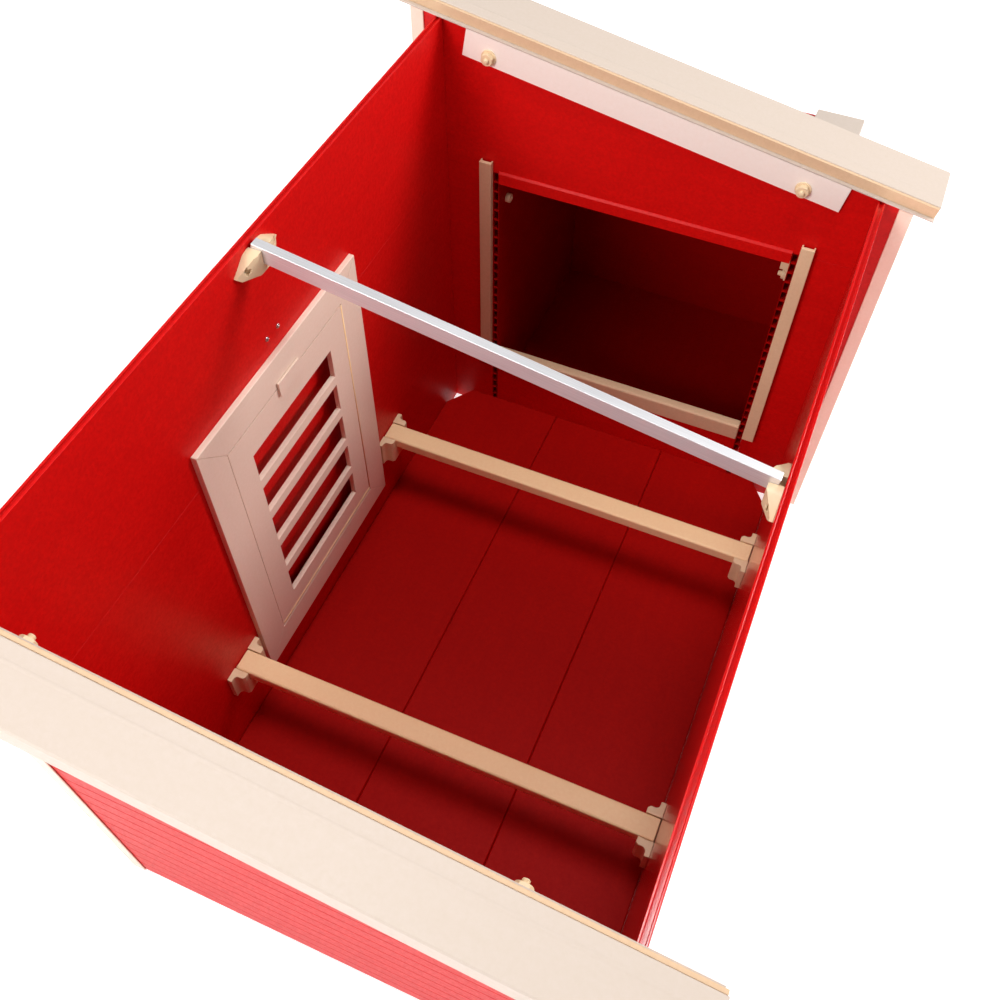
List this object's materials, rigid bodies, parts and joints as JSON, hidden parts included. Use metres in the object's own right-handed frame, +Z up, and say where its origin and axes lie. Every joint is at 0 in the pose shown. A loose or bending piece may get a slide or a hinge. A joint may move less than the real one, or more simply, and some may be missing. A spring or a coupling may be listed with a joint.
{
  "type": "chicken coop",
  "caption": "Single-pitch coop of red twin-wall planks with cream trims, louvred pop door, ramp, roost bars and a lidded nest box, shown with its roof panel lifted off.",
  "frame": {"origin": "middle of the footprint, nest box included, at the ground", "axes": "+Z up, +Y from the front wall to the nest box, +X from the door wall to the low wall"},
  "size_m": [0.9614, 1.844, 0.9791],
  "materials": {
    "red_plastic": "satin extruded plank, faint long grain",
    "cream_plastic": "matte extruded profile, faint wood grain",
    "beige_plastic": "matte moulded fittings",
    "aluminium": "brushed along its length",
    "screw_steel": "bright zinc"
  },
  "bodies": {
    "shell": {"floor_plank_left": "red_plastic", "floor_plank_middle": "red_plastic", "floor_plank_right": "red_plastic", "left_wall_lower": "red_plastic", "left_wall_upper": "red_plastic", "right_wall_lower": "red_plastic", "right_wall_upper": "red_plastic", "front_wall_lower": "red_plastic", "front_wall_upper": "red_plastic", "back_wall_left": "red_plastic", "back_wall_right": "red_plastic", "back_wall_threshold": "red_plastic", "back_wall_upper": "red_plastic", "nest_side_left": "red_plastic", "nest_side_right": "red_plastic", "nest_back": "red_plastic", "nest_floor": "red_plastic", "floor_bearer_front": "cream_plastic", "floor_bearer_back": "cream_plastic", "front_left_trim": "cream_plastic", "front_right_trim": "cream_plastic", "back_left_trim": "cream_plastic", "back_right_trim": "cream_plastic", "front_eave_strip": "cream_plastic", "back_eave_strip": "cream_plastic", "front_cleat": "cream_plastic", "back_cleat": "cream_plastic", "door_frame_bottom": "cream_plastic", "door_frame_top": "cream_plastic", "door_frame_front": "cream_plastic", "door_frame_back": "cream_plastic", "ramp_hinge_rail": "cream_plastic", "lid_hinge_rail": "cream_plastic", "front_cleat_bolt_1": "beige_plastic", "front_cleat_bolt_2": "beige_plastic", "back_cleat_bolt_1": "beige_plastic", "back_cleat_bolt_2": "beige_plastic", "rafter_bracket_left": "beige_plastic", "rafter_bracket_right": "beige_plastic", "roost_bracket_front_left": "beige_plastic", "roost_bracket_front_right": "beige_plastic", "roost_bracket_back_left": "beige_plastic", "roost_bracket_back_right": "beige_plastic", "latch_plate": "beige_plastic", "nest_bolt_left": "beige_plastic", "nest_bolt_right": "beige_plastic", "nest_sill": "beige_plastic", "nest_rail_left": "beige_plastic", "nest_rail_right": "beige_plastic", "latch_screw_1": "screw_steel", "latch_screw_2": "screw_steel"},
    "rafter_bar": {"rafter": "aluminium"},
    "front_roost": {"roost_bar_front": "beige_plastic"},
    "back_roost": {"roost_bar_back": "beige_plastic"},
    "vent_door": {"vent_leaf": "cream_plastic"},
    "ramp": {"ramp_door": "red_plastic"},
    "latch": {"latch_button": "beige_plastic"},
    "lid": {"nest_lid": "red_plastic", "nest_lid_trim_left": "cream_plastic", "nest_lid_trim_right": "cream_plastic"}
  },
  "joints": [
    {"name": "rafter_lift", "type": "slide", "parent": "shell", "child": "rafter_bar", "axis": [0.1676, 0, 0.9859], "range_m": [0, 0.1]},
    {"name": "front_roost_lift", "type": "slide", "parent": "shell", "child": "front_roost", "axis": [0, 0, 1], "range_m": [0, 0.25]},
    {"name": "back_roost_lift", "type": "slide", "parent": "shell", "child": "back_roost", "axis": [0, 0, 1], "range_m": [0, 0.25]},
    {"name": "vent_door_tilt", "type": "hinge", "parent": "shell", "child": "vent_door", "pos_m": [-0.38094, -0.22051, 0.169], "axis": [0, 1, 0], "range_deg": [0, 90]},
    {"name": "ramp_swing", "type": "hinge", "parent": "shell", "child": "ramp", "pos_m": [-0.41063, -0.22051, 0.156], "axis": [0, -1, 0], "range_deg": [0, 104]},
    {"name": "latch_turn", "type": "hinge", "parent": "shell", "child": "latch", "pos_m": [-0.41824, -0.22051, 0.742], "axis": [1, 0, 0], "range_deg": [-90, 0]},
    {"name": "lid_open", "type": "hinge", "parent": "shell", "child": "lid", "pos_m": [-0.00023, 0.41999, 0.706], "axis": [1, 0, 0], "range_deg": [0, 50]}
  ]
}
